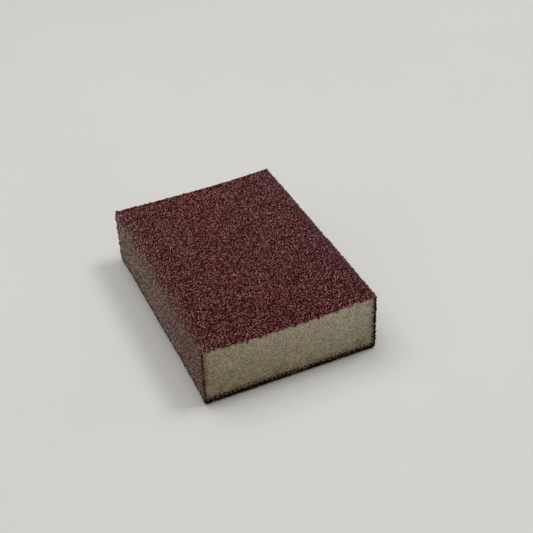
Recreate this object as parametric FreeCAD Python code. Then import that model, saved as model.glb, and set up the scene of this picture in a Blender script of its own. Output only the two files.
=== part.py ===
import FreeCAD, Part
import math
import os

# A flexible sanding block: a bar of dense foam whose two broad faces and two long sides are coated
# with abrasive. The two short ends are bare, cut foam.
#
# All sizes are in millimetres. X is the block's width, Y its length and Z its thickness. The origin
# is the centre of the face it lies on, so the block stands on the plane Z = 0.

# Driving dimensions
BLOCK_LENGTH = 100.0      # from one bare end to the other
FOAM_WIDTH = 69.5         # the foam bar alone, without its coats
FOAM_THICKNESS = 24.1
FOAM_EDGE_RADIUS = 0.6    # the bar's four long edges, which are pressed slightly round
BOND_THICKNESS = 0.2      # the resin that glues the grains to the foam
GRIT_THICKNESS = 0.55     # the grains, with the thin resin that locks them in

# Worked out from them
COAT_THICKNESS = BOND_THICKNESS + GRIT_THICKNESS
MIDDLE_HEIGHT = COAT_THICKNESS + FOAM_THICKNESS / 2
MITRE = math.radians(45)  # neighbouring coats meet half way round each long edge

# Each coated face: how many quarter turns about Y bring it to the top of the block
COATED_FACES = {
    "top": 0,
    "right": 1,
    "bottom": 2,
    "left": 3,
}


def across_block(along, out, quarter_turns):
    """A point of a cross-section: along the face and out from the block's middle line."""
    x, z = along, out
    for turn in range(quarter_turns):
        x, z = z, -x
    return FreeCAD.Vector(x, -BLOCK_LENGTH / 2, MIDDLE_HEIGHT + z)


def extruded(edges):
    """The solid that a closed outline at the front end sweeps along the whole length."""
    outline = Part.Face(Part.Wire(edges))
    return outline.extrude(FreeCAD.Vector(0, BLOCK_LENGTH, 0))


def face_size(quarter_turns):
    """The foam's width across a coated face, and its depth behind it."""
    if quarter_turns % 2:
        return FOAM_THICKNESS, FOAM_WIDTH
    return FOAM_WIDTH, FOAM_THICKNESS


def foam_core():
    """The bare foam bar, with its four long edges rounded."""
    bar = Part.makeBox(
        FOAM_WIDTH,
        BLOCK_LENGTH,
        FOAM_THICKNESS,
        FreeCAD.Vector(-FOAM_WIDTH / 2, -BLOCK_LENGTH / 2, COAT_THICKNESS),
    )
    long_edges = [edge for edge in bar.Edges if edge.Vertexes[0].Y != edge.Vertexes[1].Y]
    return bar.makeFillet(FOAM_EDGE_RADIUS, long_edges)


def coat(quarter_turns, start, thickness):
    """One layer on one face, from start to start + thickness above the foam.

    It is flat over the face and follows the rounded edges as far as the mitres.
    """
    width, depth = face_size(quarter_turns)
    flat_half = width / 2 - FOAM_EDGE_RADIUS
    arc_centre = depth / 2 - FOAM_EDGE_RADIUS
    inner = FOAM_EDGE_RADIUS + start
    outer = inner + thickness

    def point(side, radius, angle):
        """On an edge's arc: side is -1 or 1, and angle is 0 where the flat part ends."""
        along = side * (flat_half + radius * math.sin(angle))
        out = arc_centre + radius * math.cos(angle)
        return across_block(along, out, quarter_turns)

    def arc(side, radius, first, last):
        return Part.Arc(
            point(side, radius, first),
            point(side, radius, (first + last) / 2),
            point(side, radius, last),
        ).toShape()

    return extruded([
        Part.makeLine(point(-1, outer, 0), point(1, outer, 0)),
        arc(1, outer, 0, MITRE),
        Part.makeLine(point(1, outer, MITRE), point(1, inner, MITRE)),
        arc(1, inner, MITRE, 0),
        Part.makeLine(point(1, inner, 0), point(-1, inner, 0)),
        arc(-1, inner, 0, MITRE),
        Part.makeLine(point(-1, inner, MITRE), point(-1, outer, MITRE)),
        arc(-1, outer, MITRE, 0),
    ])


def block_pieces():
    """Every piece of the block, by name."""
    pieces = {"foam_core": foam_core()}
    for face, quarter_turns in COATED_FACES.items():
        pieces[face + "_bond_coat"] = coat(quarter_turns, 0, BOND_THICKNESS)
        pieces[face + "_grit_coat"] = coat(quarter_turns, BOND_THICKNESS, GRIT_THICKNESS)
    return pieces


os.makedirs("parts", exist_ok=True)
for name, shape in block_pieces().items():
    shape.exportStep(os.path.join("parts", name + ".step"))
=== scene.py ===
import math
from collections import namedtuple

import bpy
import numpy as np
from mathutils import Matrix, Vector
from mathutils.kdtree import KDTree


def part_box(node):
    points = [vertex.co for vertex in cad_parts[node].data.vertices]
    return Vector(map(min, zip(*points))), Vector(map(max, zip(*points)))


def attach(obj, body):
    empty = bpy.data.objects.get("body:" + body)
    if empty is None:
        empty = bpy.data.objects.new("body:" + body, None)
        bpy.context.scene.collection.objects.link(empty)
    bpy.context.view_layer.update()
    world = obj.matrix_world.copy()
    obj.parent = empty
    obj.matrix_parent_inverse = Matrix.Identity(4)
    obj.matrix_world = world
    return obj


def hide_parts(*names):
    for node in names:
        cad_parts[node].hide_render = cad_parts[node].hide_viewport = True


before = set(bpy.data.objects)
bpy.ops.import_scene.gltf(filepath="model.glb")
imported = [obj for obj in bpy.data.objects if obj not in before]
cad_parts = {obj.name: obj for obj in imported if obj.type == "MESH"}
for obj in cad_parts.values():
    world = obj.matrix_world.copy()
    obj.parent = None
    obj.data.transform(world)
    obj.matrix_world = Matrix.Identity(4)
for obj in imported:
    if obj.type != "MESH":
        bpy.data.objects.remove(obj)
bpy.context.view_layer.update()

# A four-sided sanding block: a foam bar, a bed of dark resin over its two faces and two long sides,
# and thousands of abrasive grains stuck in that bed. The two short ends are bare, cut foam.
# Everything is in metres, in the frame's axes: X across, Y along and Z up.
MM = 0.001

# The block's sizes, from the frame
foam_low, foam_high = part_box("foam_core")
FOAM_WIDTH = foam_high.x - foam_low.x
FOAM_THICKNESS = foam_high.z - foam_low.z
LENGTH = foam_high.y - foam_low.y
MIDDLE_HEIGHT = (foam_high.z + foam_low.z) / 2
COAT_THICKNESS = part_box("top_grit_coat")[1].z - foam_high.z
FOAM_EDGE_RADIUS = 0.6 * MM    # the foam bar's four long edges

# The coated faces, each with the quarter turns about Y that bring it to the top
COATED_FACES = {"top": 0, "right": 1, "bottom": 2, "left": 3}

# How the soft block departs from a true box: its sides swell, its top sags in the middle and stands
# up at its long edges, its bottom's long edges are worn round, and its left end edges are pushed out,
# the front one of them also cut a little short
LEFT_SWELL = 0.45 * MM
RIGHT_SWELL = 0.25 * MM
MIDDLE_SWELL = 0.5 * MM
TOP_SAG = 0.15 * MM
EDGE_LIFT = 0.5 * MM
RIGHT_CORNER_LIFT = 0.7 * MM
BOTTOM_WEAR = 1.5 * MM
BACK_CORNER_SWELL = 0.5 * MM
TOP_CORNER_SWELL = 0.5 * MM
FOOT_CORNER_SWELL = 1.2 * MM
CORNER_CUT = 1.0 * MM

# The resin bed follows the foam's open cells, so it has soft humps and pits
BED_HEIGHT = 0.2 * MM          # its middle height above the foam
BED_SWING = 0.17 * MM          # how far the humps and pits leave it
EDGE_SWING = 0.2 * MM          # how much more the humps stand out at a coat's edges
EDGE_REACH = 1.2 * MM          # how far in from the edges they do
HUMP_SPACING = 1.2 * MM
BED_STEP = 0.42 * MM           # the bed mesh's grid

# The abrasive grains
GRAINS_PER_AREA = 4.1 / MM ** 2
GRAIN_SPACING = 0.47 * MM
GRAIN_SIZE = (0.37 * MM, 0.7 * MM)
MOST_PROUD = 0.3               # how far a grain's middle may stand above the bed, in grain sizes
GRAIN_REACH = 0.35             # how far a grain stands above its own middle, in grain sizes
STRAY_REACH = 1.5 * MM         # maroon and taupe grains mingle this far from the long edges
CONTRAST = 1.1                 # how much a grain's shade stands out from its neighbours'

# Dirt and painted shade on the coats
END_GRIME_AND_SHADE_REACH = 0.7 * MM     # how far in from the cut ends it reaches
FLOOR_SHADE_REACH = 2.5 * MM   # how far up from the floor
BACK_SHADE = 0.7               # how dark the grains at the back end are at least, from 0 to 1: painted shade along the back edge

# The foam's cut ends
CUT_STEP = 0.22 * MM           # the end mesh's grid
CELL_SIZE = 0.74 * MM          # the larger foam cells, and how deep they are cut open
CELL_DEPTH = 0.3 * MM
FINE_CELL_SIZE = 0.42 * MM     # the smaller ones
FINE_CELL_DEPTH = 0.2 * MM
CUT_WAVE = 0.1 * MM            # the unevenness of the cut, over long and short waves
FINE_CUT_WAVE = 0.04 * MM
RIM_DROP = 0.3 * MM            # how far the soaked rim falls back from the cut
BAR_LENGTHS = 12               # the foam bar's mesh has this many lengths between its ends

# Where each coat meets the cut ends: how many grains to a length of edge have spilt over it, how far
# they reach, how far the dark resin and its brown stain soak in, and how dark the grains are there.
# The soak, stain and darkening are partly resin and grime and partly painted shade.
Rim = namedtuple("Rim", "spilt spill soak stain grime")
RIMS = {
    "top": Rim(24 / MM, 0.75 * MM, 0.1 * MM, 0.5 * MM, 0.1),
    # The right rim's wide soak and full darkening, and the bottom rim's long stain, are painted shade
    "right": Rim(4 / MM, 0.4 * MM, 0.9 * MM, 2.4 * MM, 1.0),
    "bottom": Rim(9 / MM, 0.9 * MM, 1.5 * MM, 5.0 * MM, 1.0),
    "left": Rim(2 / MM, 0.2 * MM, 0.4 * MM, 2.8 * MM, 0.75),
}
SHORTFALL = 0.35 * MM          # how far a coat's ragged edge stops short of the cut
RAGGED_WAVE = 1.6 * MM         # the edge wanders over short waves and over long ones
LONG_RAGGED_WAVE = 4.5 * MM
SPILT_BLUR = 0.2 * MM          # how softly spilt maroon resin fades out on the foam

# The camera, from the photograph's view of the block
CAMERA_AZIMUTH = math.radians(-22.93)
CAMERA_ELEVATION = math.radians(37.72)
CAMERA_ROLL = math.radians(-2.53)
CAMERA_AIM = Vector((13.2, 3.5, 10.9)) * MM
CAMERA_DISTANCE = 450.3 * MM
CAMERA_LENS = 73.17            # this and the sensor's width are in millimetres
SENSOR_WIDTH = 36

# The studio, in metres: its lights, and a floor that bends up into a wall all round
SOFTBOX_DISTANCE = 1.2
GLOW_STRENGTH = 0.33
FLOOR_RADIUS = 1.4
BEND_RADIUS = 0.5
WALL_TOP = 1.6

WHITE = (1, 1, 1)
# A near-black for grime and for painted shade
GRIME_AND_SHADE_COLOUR = (0.02, 0.012, 0.009, 1)
SPILT_RESIN_COLOUR = (0.05, 0.009, 0.008, 1)


# ---------------------------------------------------------------- random fields

def ripples(points, wavelength, seed, waves=32):
    """A smooth random value for each point, with middle 0 and deviation 1."""
    random = np.random.default_rng(seed)
    points = np.asarray(points)
    directions = random.normal(size=(waves, points.shape[-1]))
    directions /= np.linalg.norm(directions, axis=1, keepdims=True)
    lengths = wavelength * random.uniform(0.75, 1.6, waves)
    phases = random.uniform(0, 2 * math.pi, waves)
    total = np.zeros(points.shape[:-1])
    for direction, length, phase in zip(directions, lengths, phases):
        total += np.sin(points @ direction * (2 * math.pi / length) + phase)
    return total / math.sqrt(waves / 2)


def cells(x, z, size, seed, table_size=64):
    """How far each point is from its cell's centre, in cell sizes, and its cell's own random number."""
    random = np.random.default_rng(seed)
    shift = random.uniform(0.1, 0.9, (table_size, table_size, 2))
    number = random.uniform(0, 1, (table_size, table_size))
    column, row = np.floor(x / size).astype(int), np.floor(z / size).astype(int)
    nearest = np.full(x.shape, np.inf)
    own = np.zeros(x.shape)
    for right in (-1, 0, 1):
        for up in (-1, 0, 1):
            i, j = (column + right) % table_size, (row + up) % table_size
            centre_x = (column + right + shift[i, j, 0]) * size
            centre_z = (row + up + shift[i, j, 1]) * size
            distance = np.hypot(x - centre_x, z - centre_z) / size
            closer = distance < nearest
            nearest = np.where(closer, distance, nearest)
            own = np.where(closer, number[i, j], own)
    return nearest, own


# ---------------------------------------------------------------- places on the block

def face_size(quarter_turns):
    """The foam's width across a coated face, and its depth behind it."""
    if quarter_turns % 2:
        return FOAM_THICKNESS, FOAM_WIDTH
    return FOAM_WIDTH, FOAM_THICKNESS


def half_panel(quarter_turns):
    """How far a coat reaches across from its face's middle, round the bend to the mitre."""
    width, depth = face_size(quarter_turns)
    bend = (FOAM_EDGE_RADIUS + COAT_THICKNESS / 2) * math.pi / 4
    return width / 2 - FOAM_EDGE_RADIUS + bend


def on_face(quarter_turns, across, along, out):
    """Points at a height out above a coated face's foam, bent round the long edges."""
    width, depth = face_size(quarter_turns)
    flat_half = width / 2 - FOAM_EDGE_RADIUS
    beyond = np.clip(np.abs(across) - flat_half, 0, None)
    angle = beyond / (FOAM_EDGE_RADIUS + COAT_THICKNESS / 2)
    radius = FOAM_EDGE_RADIUS + out
    side = np.sign(across) * (np.minimum(np.abs(across), flat_half) + radius * np.sin(angle))
    height = depth / 2 - FOAM_EDGE_RADIUS + radius * np.cos(angle)
    for turn in range(quarter_turns):
        side, height = height, -side
    return np.stack(np.broadcast_arrays(side, along, MIDDLE_HEIGHT + height), -1)


def as_made(points):
    """Moves points of a true block to where the soft, slightly swollen one has them."""
    x, y, z = np.moveaxis(np.asarray(points).reshape(-1, 3), -1, 0)
    across, along, up = x / (FOAM_WIDTH / 2), y / (LENGTH / 2), z / (2 * MIDDLE_HEIGHT)
    # The sides swell, most in the middle of their length, and the top's edges lift
    swell = across * (np.where(x < 0, LEFT_SWELL, RIGHT_SWELL) + MIDDLE_SWELL * (1 - along ** 2))
    lift = up * (EDGE_LIFT * across ** 2 - TOP_SAG)
    lift += up * RIGHT_CORNER_LIFT * np.clip(across, 0, 1) ** 2 * np.abs(along)
    # The bottom's long edges are worn round
    near_side = np.clip(1 - (FOAM_WIDTH / 2 + COAT_THICKNESS - np.abs(x)) / BOTTOM_WEAR, 0, 1)
    near_floor = np.clip(1 - z / BOTTOM_WEAR, 0, 1)
    swell -= np.sign(x) * BOTTOM_WEAR * near_side * (1 - np.sqrt(1 - near_floor ** 2 / 2))
    lift += BOTTOM_WEAR * near_floor * (1 - np.sqrt(1 - near_side ** 2 / 2))
    # The left side's end edges are pushed out, and the top of the front one stops short of the cut
    left_edge = np.clip(-across, 0, 1) ** 6
    corner = left_edge * np.clip(-along, 0, 1) ** 3
    swell -= corner * (TOP_CORNER_SWELL * up + FOOT_CORNER_SWELL * (1 - up))
    swell -= BACK_CORNER_SWELL * left_edge * np.clip(along, 0, 1) ** 4
    return np.stack([x + swell, y + CORNER_CUT * corner * up, np.maximum(z + lift, 0)], -1)


def side_share(quarter_turns, across):
    """How many of the grains at a place are a long side's taupe ones, from 0 to 1."""
    inset = half_panel(quarter_turns) - np.abs(across)
    strangers = 0.5 * np.exp(-inset / STRAY_REACH)
    return 1 - strangers if quarter_turns % 2 else strangers


def wander(quarter_turns, across, end):
    """How a coat's cut edge wanders: above 0 it hangs over the foam's end, below 0 it stops short."""
    front, back = (
        0.5 * ripples(across[..., None], RAGGED_WAVE, seed + quarter_turns)
        + 0.4 * ripples(across[..., None], LONG_RAGGED_WAVE, seed + quarter_turns + 10)
        for seed in (200, 300)
    )
    return np.where(end < 0, front, back)


def coat_reach(quarter_turns, across, end):
    """How far along the block a coat reaches towards one end."""
    return LENGTH / 2 - SHORTFALL * np.clip(0.5 - wander(quarter_turns, across, end), 0, 2.5)


def overhang(face, quarter_turns, across, end):
    """How far down the foam's cut end a coat's grains have spilt."""
    return RIMS[face].spill * np.clip(0.4 + wander(quarter_turns, across, end), 0, 2.5)


def floor_shade(points):
    """How much painted shade darkens the coats at points near the floor."""
    return np.exp(-((points[..., 2] / FLOOR_SHADE_REACH) ** 4))


def edge_swing(quarter_turns, across, along, points):
    """How much further a coat's humps may stand out near its edges, though not near the floor."""
    inset = np.minimum(half_panel(quarter_turns) - np.abs(across), LENGTH / 2 - np.abs(along))
    clear_of_floor = np.clip(points[..., 2] / FLOOR_SHADE_REACH - 1, 0, 1)
    return EDGE_SWING * np.exp(-np.clip(inset, 0, None) / EDGE_REACH) * clear_of_floor


def bed_height(points, swing):
    """The resin bed's height above the foam at points of the block, where humps gain some swing."""
    humps = np.tanh(ripples(points, HUMP_SPACING, seed=11))
    return BED_HEIGHT + BED_SWING * humps + swing * np.clip(humps, 0, 1)


# ---------------------------------------------------------------- meshes

def new_piece(name, points, faces, material):
    """A mesh piece that rides on the block's one body."""
    mesh = bpy.data.meshes.new(name)
    mesh.from_pydata(as_made(points).tolist(), [], faces)
    mesh.materials.append(material)
    piece = bpy.data.objects.new(name, mesh)
    bpy.context.scene.collection.objects.link(piece)
    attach(piece, "root")
    return piece


def point_value(piece, name, values):
    """Stores one number per mesh point, for the piece's material to read."""
    attribute = piece.data.attributes.new(name, "FLOAT", "POINT")
    attribute.data.foreach_set("value", np.asarray(values, np.float32).ravel())


def grid_faces(rows, columns, start=0, flip=False):
    """Quads of a grid of points, stored row by row from number start."""
    corner = np.arange((rows - 1) * columns).reshape(rows - 1, columns)[:, :-1].ravel() + start
    quads = np.stack([corner, corner + 1, corner + columns + 1, corner + columns], 1)
    return (quads[:, ::-1] if flip else quads).tolist()


def border(rows, columns):
    """The numbers of a grid's outermost points, in order round it."""
    number = np.arange(rows * columns).reshape(rows, columns)
    return np.concatenate([number[0, :-1], number[:-1, -1], number[-1, :0:-1], number[:0:-1, 0]])


def band_faces(near, far):
    """Quads between two closed rings of points."""
    return np.stack([near, far, np.roll(far, -1), np.roll(near, -1)], 1).tolist()


def smooth(piece):
    """Shades a mesh piece smooth."""
    piece.data.polygons.foreach_set("use_smooth", [True] * len(piece.data.polygons))


def resin_bed(face, quarter_turns, material):
    """The sheet of resin on one face: a bumpy outside, a plain inside and the edges round it."""
    half = half_panel(quarter_turns)
    columns = round(2 * half / BED_STEP) + 1
    rows = round(LENGTH / BED_STEP) + 1
    across = np.linspace(-half, half, columns)[None, :]
    along = np.linspace(-1, 1, rows)[:, None]
    along = along * coat_reach(quarter_turns, across, along)
    ground = on_face(quarter_turns, across, along, 0 * across)
    height = bed_height(ground, edge_swing(quarter_turns, across, along, ground))
    outside = on_face(quarter_turns, across, along, height)
    rim = border(rows, columns)
    faces = grid_faces(rows, columns)
    faces += grid_faces(rows, columns, rows * columns, flip=True)
    faces += band_faces(rim, rim + rows * columns)
    points = np.concatenate([outside.reshape(-1, 3), ground.reshape(-1, 3)])
    piece = new_piece(face + "_resin_bed", points, faces, material)
    share = side_share(quarter_turns, across) + 0 * along
    # Painted shade near the floor, and grime and painted shade along the cut ends
    grime = floor_shade(ground)
    grime[[0, -1]] = RIMS[face].grime
    point_value(piece, "side", np.tile(share.ravel(), 2))
    point_value(piece, "grime", np.tile(grime.ravel(), 2))
    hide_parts(face + "_bond_coat")
    smooth(piece)
    return piece


# Grains start as one of three simple shards, whose points are then moved at random
WEDGE_POINTS = [(1, 0, -0.6), (-0.6, 0.9, -0.6), (-0.6, -0.9, -0.6), (0, 0, 1)]
WEDGE_FACES = [(0, 2, 1), (0, 1, 3), (1, 2, 3), (2, 0, 3)]
SPLINTER_POINTS = [(1, 0, 0), (-0.5, 0.87, 0), (-0.5, -0.87, 0), (0, 0, 1), (0, 0, -1)]
SPLINTER_FACES = [(0, 1, 3), (1, 2, 3), (2, 0, 3), (1, 0, 4), (2, 1, 4), (0, 2, 4)]
LUMP_POINTS = [(1, 0, 0), (0, 1, 0), (-1, 0, 0), (0, -1, 0), (0, 0, 1), (0, 0, -1)]
LUMP_FACES = [(0, 1, 4), (1, 2, 4), (2, 3, 4), (3, 0, 4), (1, 0, 5), (2, 1, 5), (3, 2, 5), (0, 3, 5)]
GRAIN_KINDS = [
    (np.array(WEDGE_POINTS, float), WEDGE_FACES),
    (np.array(SPLINTER_POINTS, float), SPLINTER_FACES),
    (np.array(LUMP_POINTS, float), LUMP_FACES),
]


def random_turns(random, count):
    """A random rotation matrix for each of count grains."""
    w, x, y, z = random.normal(size=(4, count))
    length = np.sqrt(w * w + x * x + y * y + z * z)
    w, x, y, z = w / length, x / length, y / length, z / length
    rows = [
        [1 - 2 * (y * y + z * z), 2 * (x * y - z * w), 2 * (x * z + y * w)],
        [2 * (x * y + z * w), 1 - 2 * (x * x + z * z), 2 * (y * z - x * w)],
        [2 * (x * z - y * w), 2 * (y * z + x * w), 1 - 2 * (x * x + y * y)],
    ]
    return np.moveaxis(np.array(rows), -1, 0)


def grain_cloud(random, centres, sizes, corners, corner_faces):
    """Points and faces of one kind of grain, at each centre."""
    count, per_grain = len(centres), len(corners)
    shapes = corners[None] * random.uniform(0.7, 1.15, (count, per_grain, 1))
    shapes += random.normal(scale=0.12, size=(count, per_grain, 3))
    shapes *= random.uniform(0.62, 1.0, (count, 1, 3))
    shapes = np.einsum("nij,nkj->nki", random_turns(random, count), shapes)
    points = centres[:, None] + shapes * sizes[:, None, None] / 2
    faces = np.array(corner_faces)[None] + per_grain * np.arange(count)[:, None, None]
    return points.reshape(-1, 3), faces.reshape(-1, 3)


def mixed_grains(random, centres, sizes):
    """Points and faces of grains of every kind, and the number of the grain that each point is on."""
    kinds = random.integers(0, len(GRAIN_KINDS), sizes.size)
    points, faces, grain_numbers = [], [], []
    for kind, (corners, corner_faces) in enumerate(GRAIN_KINDS):
        mine = np.flatnonzero(kinds == kind)
        start = sum(len(p) for p in points)
        kind_points, kind_faces = grain_cloud(random, centres[mine], sizes[mine], corners, corner_faces)
        points.append(kind_points)
        faces += (kind_faces + start).tolist()
        grain_numbers.append(np.repeat(mine, len(corners)))
    return np.concatenate(points), faces, np.concatenate(grain_numbers)


def neighbours(places, count=6):
    """The numbers of the places nearest to each place."""
    tree = KDTree(len(places))
    for number, place in enumerate(places):
        tree.insert(place, number)
    tree.balance()
    return np.array([[hit[1] for hit in tree.find_n(place, count + 1)[1:]] for place in places])


def spread_out(places, spacing, rounds=2):
    """Pushes places apart, so that few are much closer than spacing and no rows appear."""
    for turn in range(rounds):
        gaps = places[:, None] - places[neighbours(places)]
        distances = np.linalg.norm(gaps, axis=-1, keepdims=True)
        push = np.clip(spacing - distances, 0, None) / np.maximum(distances, 0.01 * spacing)
        places = places + 0.35 * (gaps * push).sum(axis=1)
    return places


def unlike_neighbours(random, places):
    """A number from 0 to 1 for each place, spread evenly and seldom close to its neighbours'."""
    number = random.uniform(size=len(places))
    contrast = number - CONTRAST * number[neighbours(places)].mean(axis=1)
    return contrast.argsort().argsort() / len(places)


def bedded_grains(random, quarter_turns, share):
    """The grains scattered evenly over one face: where and how big they are, and their shades."""
    half = half_panel(quarter_turns)
    count = round(2 * half * LENGTH * GRAINS_PER_AREA * share)
    corner = np.array([half, LENGTH / 2, 0])
    places = spread_out(random.uniform(-corner, corner, (count, 3)), GRAIN_SPACING)
    shades = unlike_neighbours(random, places)
    across = np.clip(places[:, 0], -half, half)
    reach = coat_reach(quarter_turns, across, places[:, 1])
    along = np.clip(places[:, 1], -reach, reach)
    sizes = random.triangular(GRAIN_SIZE[0], GRAIN_SIZE[0], GRAIN_SIZE[1], count)
    ground = on_face(quarter_turns, across, along, 0 * across)
    swing = edge_swing(quarter_turns, across, along, ground)
    heights = bed_height(ground, swing) + random.uniform(0, MOST_PROUD, count) * sizes
    heights = np.minimum(heights, COAT_THICKNESS + swing - GRAIN_REACH * sizes)
    return across, along, heights, sizes, shades, heights / (COAT_THICKNESS + swing)


def spilt_grains(random, face, quarter_turns):
    """The same for grains that have slipped over the cut edge and cling to the foam's end in clumps."""
    half = half_panel(quarter_turns)
    both_edges = 2 * (2 * half)
    count = round(both_edges * RIMS[face].spilt)
    across = random.uniform(-half, half, count)
    end = random.choice([-1, 1], count)
    drop = overhang(face, quarter_turns, across, end) * random.uniform(0, 1, count)
    along = end * (LENGTH / 2 - random.uniform(-0.08, 0.12, count) * MM)
    sizes = random.uniform(0.9, 1.5, count) * GRAIN_SIZE[0]
    shades = random.uniform(size=count)
    return across, along, BED_HEIGHT / 2 - drop, sizes, shades, np.full(count, 0.4)


def grain_grime_and_shade(face, along, centres):
    """How dark each grain is painted: grime and painted shade at the cut ends, painted shade near the floor.
    """
    from_end = np.clip(LENGTH / 2 - np.abs(along), 0, None)
    # The back end's grains are always darkened some: painted shade along the back edge
    end_grime_and_shade = np.maximum(RIMS[face].grime, BACK_SHADE * (along > 0))
    return np.maximum(end_grime_and_shade * np.exp(-from_end / END_GRIME_AND_SHADE_REACH), floor_shade(centres))


def grit(face, quarter_turns, material, share):
    """The grains on one face, set in its resin bed. Share is how much of the usual number it has."""
    random = np.random.default_rng(50 + quarter_turns)
    bedded = bedded_grains(random, quarter_turns, share)
    spilt = spilt_grains(random, face, quarter_turns)
    across, along, heights, sizes, shades, depths = map(np.append, bedded, spilt)
    centres = on_face(quarter_turns, across, along, heights)
    # What each grain looks like, for the material to read
    looks = {
        "shade": shades,
        "height": depths,
        "side": random.uniform(size=sizes.size) < side_share(quarter_turns, across),
        "grime": grain_grime_and_shade(face, along, centres),
    }
    points, faces, grain_numbers = mixed_grains(random, centres, sizes)
    piece = new_piece(face + "_grains", points, faces, material)
    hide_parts(face + "_grit_coat")
    for name, by_grain in looks.items():
        point_value(piece, name, by_grain[grain_numbers])
    return piece


def rounded_section(columns, rows):
    """A grid of points over the foam's cross-section, its corners drawn in to the edge radius."""
    half_width, half_depth = FOAM_WIDTH / 2, FOAM_THICKNESS / 2
    x = np.linspace(-half_width, half_width, columns)[None, :] + np.zeros((rows, 1))
    z = np.linspace(-half_depth, half_depth, rows)[:, None] + np.zeros((1, columns))
    into_x = np.clip((np.abs(x) - half_width) / FOAM_EDGE_RADIUS + 1, 0, 1)
    into_z = np.clip((np.abs(z) - half_depth) / FOAM_EDGE_RADIUS + 1, 0, 1)
    drawn_x = into_x * (np.sqrt(1 - into_z ** 2 / 2) - 1) * FOAM_EDGE_RADIUS
    drawn_z = into_z * (np.sqrt(1 - into_x ** 2 / 2) - 1) * FOAM_EDGE_RADIUS
    return x + np.sign(x) * drawn_x, z + np.sign(z) * drawn_z


def cut_depth(x, z, seed):
    """How far the cut surface lies inside the end plane, and how deep in a cell each point is."""
    near, own = cells(x, z, CELL_SIZE, seed)
    fine_near, fine_own = cells(x, z, FINE_CELL_SIZE, seed + 1)
    pit = np.clip(1 - near / 0.55, 0, 1) * own
    fine_pit = np.clip(1 - fine_near / 0.5, 0, 1) * fine_own
    plane = np.stack([x, z], -1)
    depth = CELL_DEPTH * pit + FINE_CELL_DEPTH * fine_pit
    depth += CUT_WAVE * (1 + ripples(plane, 9 * MM, seed + 2) / 2)
    depth += FINE_CUT_WAVE * ripples(plane, 1.3 * MM, seed + 3)
    return np.clip(depth, 0, None), np.clip(pit + fine_pit, 0, 1)


def soaked_and_shaded(x, z, end):
    """How much dark resin, brown stain and spilt maroon resin a point of the cut end holds; near the bottom
    and right edges the soak and stain are also painted shade.
    """
    plane = np.stack([x, z], -1)
    bristles = np.clip(1 + 0.5 * ripples(plane, 1.2 * MM, seed=41), 0.15, 2)
    clouds = np.clip(1 + 0.3 * ripples(plane, 6 * MM, seed=42), 0.3, 1.7)
    from_edges = {
        "top": FOAM_THICKNESS / 2 - z,
        "bottom": FOAM_THICKNESS / 2 + z,
        "left": FOAM_WIDTH / 2 + x,
        "right": FOAM_WIDTH / 2 - x,
    }
    soak, stain = np.zeros(x.shape), np.zeros(x.shape)
    for face, distance in from_edges.items():
        depth = (distance + 0.15 * MM) / (RIMS[face].soak * bristles)
        soak = np.maximum(soak, np.clip(1.5 - depth, 0, 1))
        stain = np.maximum(stain, np.clip(1 - distance / (RIMS[face].stain * clouds), 0, 1))
    spilt = overhang("top", 0, x, np.full(x.shape, end)) - from_edges["top"]
    return soak, stain, np.clip(spilt / SPILT_BLUR, 0, 1)


def foam_bar(material):
    """The foam bar, closed, with open cells cut through at its two ends."""
    columns = round(FOAM_WIDTH / CUT_STEP) + 1
    rows = round(FOAM_THICKNESS / CUT_STEP) + 1
    x, z = rounded_section(columns, rows)
    rim = border(rows, columns)
    points, faces, rims = [], [], []
    looks = {"pit": [], "soak": [], "stain": [], "spilt": []}
    for end, seed in ((-1, 21), (1, 31)):
        start = sum(len(p) for p in points)
        depth, pit = cut_depth(x, z, seed)
        soak, stain, spilt = soaked_and_shaded(x, z, end)
        y = end * (LENGTH / 2 - depth - RIM_DROP * soak)
        points.append(np.stack([x, y, MIDDLE_HEIGHT + z], -1).reshape(-1, 3))
        for values, look in zip(looks.values(), (pit, soak, stain, spilt)):
            values.append(look.ravel())
        faces += grid_faces(rows, columns, start, flip=(end > 0))
        rims.append(rim + start)
    # The sides run from one end's rim to the other's, through plain rings of points
    rings = [rims[0]]
    section = np.stack([x, 0 * x, MIDDLE_HEIGHT + z], -1).reshape(-1, 3)[rim]
    for step in range(1, BAR_LENGTHS):
        rings.append(np.arange(len(rim)) + sum(len(p) for p in points))
        points.append(section + (0, (step / BAR_LENGTHS - 0.5) * LENGTH, 0))
        for values in looks.values():
            values.append(np.ones(len(rim)))
    rings.append(rims[1])
    for near, far in zip(rings, rings[1:]):
        faces += band_faces(near, far)
    piece = new_piece("foam_bar", np.concatenate(points), faces, material)
    for name, values in looks.items():
        point_value(piece, name, np.concatenate(values))
    smooth(piece)
    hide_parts("foam_core")
    return piece


# ---------------------------------------------------------------- materials

def new_material(name):
    """A material, its nodes and its main shader."""
    material = bpy.data.materials.new(name)
    material.use_nodes = True
    return material, material.node_tree, material.node_tree.nodes["Principled BSDF"]


def feed(tree, socket, value):
    """Links a node's input to another node's output, or sets it if given a plain value."""
    if isinstance(value, bpy.types.NodeSocket):
        tree.links.new(value, socket)
    else:
        socket.default_value = value


def add_node(tree, kind, **inputs):
    """A shader node with the named inputs fed. An underscore stands for a space in an input's name."""
    node = tree.nodes.new(kind)
    for name, value in inputs.items():
        feed(tree, node.inputs[name.replace("_", " ")], value)
    return node


def ramp(tree, factor, stops):
    """A colour ramp over a factor: stops are (place, colour)."""
    node = add_node(tree, "ShaderNodeValToRGB", Fac=factor)
    elements = node.color_ramp.elements
    while len(elements) < len(stops):
        elements.new(0.5)
    for element, (place, colour) in zip(elements, stops):
        element.position = place
        element.color = (*colour, 1)
    return node.outputs["Color"]


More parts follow.
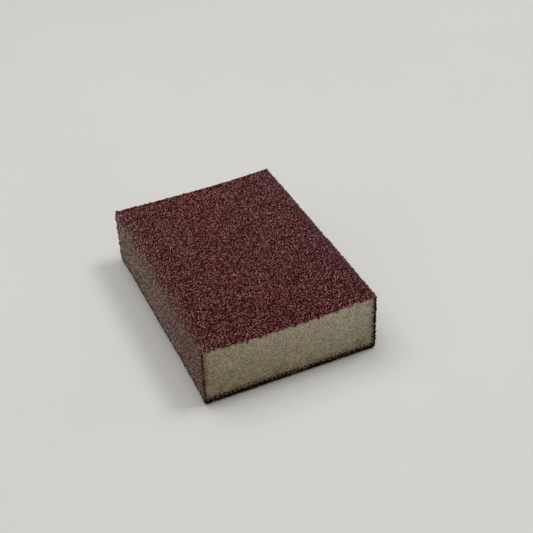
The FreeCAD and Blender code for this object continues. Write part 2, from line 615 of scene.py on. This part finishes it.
def blend(tree, mode, amount, first, second):
    """Mixes two colours by the given mode and amount."""
    node = tree.nodes.new("ShaderNodeMix")
    node.data_type = "RGBA"
    node.blend_type = mode
    # A mix node's first input is the amount, its 6 and 7 the two colours and its output 2 their mix
    feed(tree, node.inputs[0], amount)
    feed(tree, node.inputs[6], first)
    feed(tree, node.inputs[7], second)
    return node.outputs[2]


def read_value(tree, name):
    """A number stored on the mesh by point_value."""
    node = tree.nodes.new("ShaderNodeAttribute")
    node.attribute_name = name
    return node.outputs["Fac"]


def noise(tree, size, detail=2.0, roughness=0.5):
    """Noise over the piece's own coordinates, with blotches of about the given size."""
    node = add_node(
        tree, "ShaderNodeTexNoise",
        Vector=tree.nodes.new("ShaderNodeTexCoord").outputs["Object"],
        Scale=1 / size,
        Detail=detail,
        Roughness=roughness,
    )
    return node.outputs["Fac"]


def position(tree, axis):
    """The place along one of the block's axes, from 0 to 1: left to right, front to back or floor to top."""
    low, high = {
        "X": (foam_low.x, foam_high.x),
        "Y": (foam_low.y, foam_high.y),
        "Z": (0, 2 * MIDDLE_HEIGHT),
    }[axis]
    place = tree.nodes.new("ShaderNodeTexCoord").outputs["Object"]
    along = add_node(tree, "ShaderNodeSeparateXYZ", Vector=place).outputs[axis]
    return add_node(tree, "ShaderNodeMapRange", Value=along, From_Min=low, From_Max=high).outputs["Result"]


def tinted(tree, colour, *tints):
    """A colour multiplied by each of the tints."""
    for tint in tints:
        colour = blend(tree, "MULTIPLY", 1.0, colour, tint)
    return colour


def maroon_grains(tree, shade, height):
    """The broad faces' grains: paler towards the back, browner on the left, more purple on the right, with
    painted shade low in the bed, at the back edge and at the right edge.
    """
    # The paler shades are partly the grains' own tone and partly painted glints; the palest stops are
    # painted highlights
    colour = ramp(tree, shade, [
        (0.0, (0.014, 0.001, 0.001)),
        (0.36, (0.065, 0.005, 0.005)),
        (0.45, (0.52, 0.18, 0.17)),
        (0.96, (0.97, 0.52, 0.5)),
        (1.0, (0.98, 0.74, 0.7)),
    ])
    return tinted(
        tree, colour,
        # Grains low in the bed are darker: painted shade in the pits, and partly dust on the raised tips
        ramp(tree, height, [(0.1, (0.5, 0.42, 0.42)), (0.45, WHITE)]),
        ramp(tree, position(tree, "Y"), [
            (0.2, (0.97, 1.0, 1.01)),
            (0.9, (1.08, 1.13, 1.12)),
            (0.985, (1.05, 1.11, 1.1)),
            # The very back edge is darkened: painted shade
            (1.0, (0.6, 0.95, 0.92)),
        ]),
        ramp(tree, position(tree, "X"), [
            (0.0, (0.92, 1.1, 1.02)),
            (0.3, WHITE),
            (0.6, WHITE),
            (0.93, (1.03, 1.1, 1.17)),
            # The right edge is darkened: painted shade
            (1.0, (0.7, 0.76, 0.8)),
        ]),
    )


def taupe_grains(tree, shade, height):
    """The long sides' grains: darker and redder at the front, with painted shade low in the bed and painted
    shade all over the right side.
    """
    colour = ramp(tree, shade, [
        (0.0, (0.11, 0.056, 0.047)),
        (0.42, (0.275, 0.17, 0.141)),
        (0.52, (0.68, 0.52, 0.455)),
        (1.0, (0.95, 0.8, 0.725)),
    ])
    return tinted(
        tree, colour,
        # Grains low in the bed are darker: painted shade in the pits, and partly dust on the raised tips
        ramp(tree, height, [(0.1, (0.6, 0.52, 0.5)), (0.45, WHITE)]),
        ramp(tree, position(tree, "Y"), [
            (0.1, (0.86, 0.72, 0.75)),
            (0.55, (1.02, 0.99, 0.97)),
            (1.0, (1.05, 1.15, 1.12)),
        ]),
        # The right side's grains are darkened: painted shade
        ramp(tree, position(tree, "X"), [(0.96, WHITE), (1.0, (0.62, 0.58, 0.58))]),
    )


def grain_material(name):
    """Maroon and taupe grains in mixed shades, the palest partly painted highlights, with painted shade low
    in the bed, grime and painted shade at the cut ends, and painted shade near the floor.
    """
    material, tree, shader = new_material(name)
    shade = read_value(tree, "shade")
    height = read_value(tree, "height")
    maroon = maroon_grains(tree, shade, height)
    taupe = taupe_grains(tree, shade, height)
    colour = blend(tree, "MIX", read_value(tree, "side"), maroon, taupe)
    speckle = ramp(tree, noise(tree, 0.25 * MM), [(0.3, (0.75, 0.75, 0.75)), (0.7, (1.2, 1.2, 1.2))])
    blotches = ramp(tree, noise(tree, 16 * MM), [(0.35, (0.98, 1.03, 0.97)), (0.65, (1.02, 0.97, 1.04))])
    colour = tinted(tree, colour, speckle, blotches)
    # Grime and painted shade at the cut ends, and painted shade near the floor
    colour = blend(tree, "MIX", read_value(tree, "grime"), colour, GRIME_AND_SHADE_COLOUR)
    tree.links.new(colour, shader.inputs["Base Color"])
    shader.inputs["Roughness"].default_value = 0.55
    shader.inputs["Specular IOR Level"].default_value = 0.05
    return material


def resin_material():
    """Dark maroon resin that turns brownish on the long sides."""
    material, tree, shader = new_material("resin")
    patches = noise(tree, 0.6 * MM)
    maroon = ramp(tree, patches, [(0.35, (0.015, 0.001, 0.001)), (0.65, (0.07, 0.008, 0.007))])
    brown = ramp(tree, patches, [(0.35, (0.093, 0.047, 0.039)), (0.65, (0.205, 0.12, 0.098))])
    colour = blend(tree, "MIX", read_value(tree, "side"), maroon, brown)
    # Grime and painted shade at the cut ends, and painted shade near the floor
    colour = blend(tree, "MIX", read_value(tree, "grime"), colour, GRIME_AND_SHADE_COLOUR)
    tree.links.new(colour, shader.inputs["Base Color"])
    shader.inputs["Roughness"].default_value = 0.7
    shader.inputs["Specular IOR Level"].default_value = 0.04
    return material


def foam_material():
    """Olive-cream foam, with painted shade in its pits, painted light towards the top right, painted shade
    towards the bottom, and soaked at its rim, partly as painted shade.
    """
    material, tree, shader = new_material("open_foam")
    blotches = noise(tree, 7 * MM)
    mottle = noise(tree, 2.4 * MM, detail=4, roughness=0.65)
    grain = noise(tree, 0.32 * MM)
    colour = tinted(
        tree,
        ramp(tree, blotches, [(0.35, (0.565, 0.487, 0.357)), (0.65, (0.525, 0.487, 0.36))]),
        ramp(tree, mottle, [(0.3, (0.84, 0.84, 0.82)), (0.7, (1.1, 1.1, 1.1))]),
        ramp(tree, grain, [(0.3, (0.5, 0.5, 0.48)), (0.7, (1.42, 1.42, 1.42))]),
        # Painted shade in the open cells
        ramp(tree, read_value(tree, "pit"), [(0.05, WHITE), (0.7, (0.48, 0.45, 0.38))]),
        # Painted shade towards the floor and painted light towards the top
        ramp(tree, position(tree, "Z"), [
            (0.0, (0.75, 0.73, 0.68)),
            (0.55, (0.95, 0.95, 0.94)),
            (1.0, (1.15, 1.17, 1.23)),
        ]),
        # Painted light towards the right
        ramp(tree, position(tree, "X"), [
            (0.0, (0.93, 0.9, 0.88)),
            (0.85, (1.15, 1.15, 1.23)),
            (1.0, (0.99, 0.99, 1.03)),
        ]),
        # Brown stain, and painted shade near the bottom edge
        ramp(tree, read_value(tree, "stain"), [(0.0, WHITE), (0.9, (0.6, 0.46, 0.33))]),
        # Dark resin, and painted shade at the bottom and right edges
        ramp(tree, read_value(tree, "soak"), [
            (0.0, WHITE),
            (0.5, (0.25, 0.2, 0.17)),
            (0.9, (0.05, 0.035, 0.03)),
        ]),
    )
    colour = blend(tree, "MIX", read_value(tree, "spilt"), colour, SPILT_RESIN_COLOUR)
    tree.links.new(colour, shader.inputs["Base Color"])
    shader.inputs["Roughness"].default_value = 0.9
    shader.inputs["Specular IOR Level"].default_value = 0.2
    return material


def floor_material():
    """A pale, faintly uneven studio floor."""
    material, tree, shader = new_material("pale_floor")
    colour = ramp(tree, noise(tree, 120 * MM), [(0.3, (0.735, 0.727, 0.695)), (0.7, (0.755, 0.747, 0.715))])
    tree.links.new(colour, shader.inputs["Base Color"])
    shader.inputs["Roughness"].default_value = 0.55
    return material


# ---------------------------------------------------------------- the scene around the block

def make_floor():
    """A pale floor that curves up into a wall all round, far from the block, so no horizon shows."""
    profile = []
    for angle in np.linspace(0, math.pi / 2, 13):
        radius = FLOOR_RADIUS + BEND_RADIUS * math.sin(angle)
        profile.append((radius, BEND_RADIUS - BEND_RADIUS * math.cos(angle)))
    profile.append((FLOOR_RADIUS + BEND_RADIUS, WALL_TOP))
    turns = np.linspace(0, 2 * math.pi, 96, endpoint=False)
    points = [(r * math.cos(t), r * math.sin(t), height) for r, height in profile for t in turns]
    faces = [list(range(len(turns)))]
    for ring in range(len(profile) - 1):
        for i in range(len(turns)):
            j = (i + 1) % len(turns)
            low, high = ring * len(turns), (ring + 1) * len(turns)
            faces.append([low + j, low + i, high + i, high + j])
    mesh = bpy.data.meshes.new("floor")
    mesh.from_pydata(points, [], faces)
    mesh.materials.append(floor_material())
    floor = bpy.data.objects.new("floor", mesh)
    bpy.context.scene.collection.objects.link(floor)
    smooth(floor)
    floor.data.polygons[0].use_smooth = False


def softbox(name, azimuth, elevation, size, power):
    """A round soft light aimed at the block. Azimuth 0 is behind it, on +Y, and 90 is on +X."""
    azimuth, elevation = math.radians(azimuth), math.radians(elevation)
    towards = Vector((
        math.sin(azimuth) * math.cos(elevation),
        math.cos(azimuth) * math.cos(elevation),
        math.sin(elevation),
    ))
    data = bpy.data.lights.new(name, "AREA")
    data.shape = "DISK"
    data.size = size
    data.energy = power
    light = bpy.data.objects.new(name, data)
    light.location = towards * SOFTBOX_DISTANCE
    light.rotation_euler = towards.to_track_quat("Z", "Y").to_euler()
    bpy.context.scene.collection.objects.link(light)


def make_lights():
    """Two soft lights high up, and a weak glow from the open top of the room."""
    world = bpy.data.worlds.new("studio")
    world.use_nodes = True
    background = world.node_tree.nodes["Background"]
    background.inputs["Color"].default_value = (1, 1, 1, 1)
    background.inputs["Strength"].default_value = GLOW_STRENGTH
    bpy.context.scene.world = world
    softbox("right_softbox", azimuth=92, elevation=64, size=0.42, power=4.25)
    softbox("overhead_softbox", azimuth=328, elevation=70, size=0.95, power=5.5)


def make_camera():
    """A camera that looks at the block from its front left and above."""
    azimuth, elevation = CAMERA_AZIMUTH, CAMERA_ELEVATION
    back = Vector((
        math.sin(azimuth) * math.cos(elevation),
        -math.cos(azimuth) * math.cos(elevation),
        math.sin(elevation),
    ))
    data = bpy.data.cameras.new("camera")
    data.sensor_width = SENSOR_WIDTH
    data.lens = CAMERA_LENS
    data.clip_start = 0.01
    camera = bpy.data.objects.new("camera", data)
    camera.location = CAMERA_AIM + back * CAMERA_DISTANCE
    turn = (-back).to_track_quat("-Z", "Y").to_matrix().to_4x4()
    roll = turn @ Matrix.Rotation(CAMERA_ROLL, 4, "Z")
    camera.rotation_euler = roll.to_euler()
    bpy.context.scene.collection.objects.link(camera)
    bpy.context.scene.camera = camera


bpy.context.scene.view_settings.view_transform = "Standard"

face_grains = grain_material("face_grains")
side_grains = grain_material("side_grains")
resin = resin_material()

foam_bar(foam_material())
for face, quarter_turns in COATED_FACES.items():
    resin_bed(face, quarter_turns, resin)
    if quarter_turns % 2:
        grit(face, quarter_turns, side_grains, share=0.9)
    else:
        grit(face, quarter_turns, face_grains, share=1.0)

make_floor()
make_lights()
make_camera()
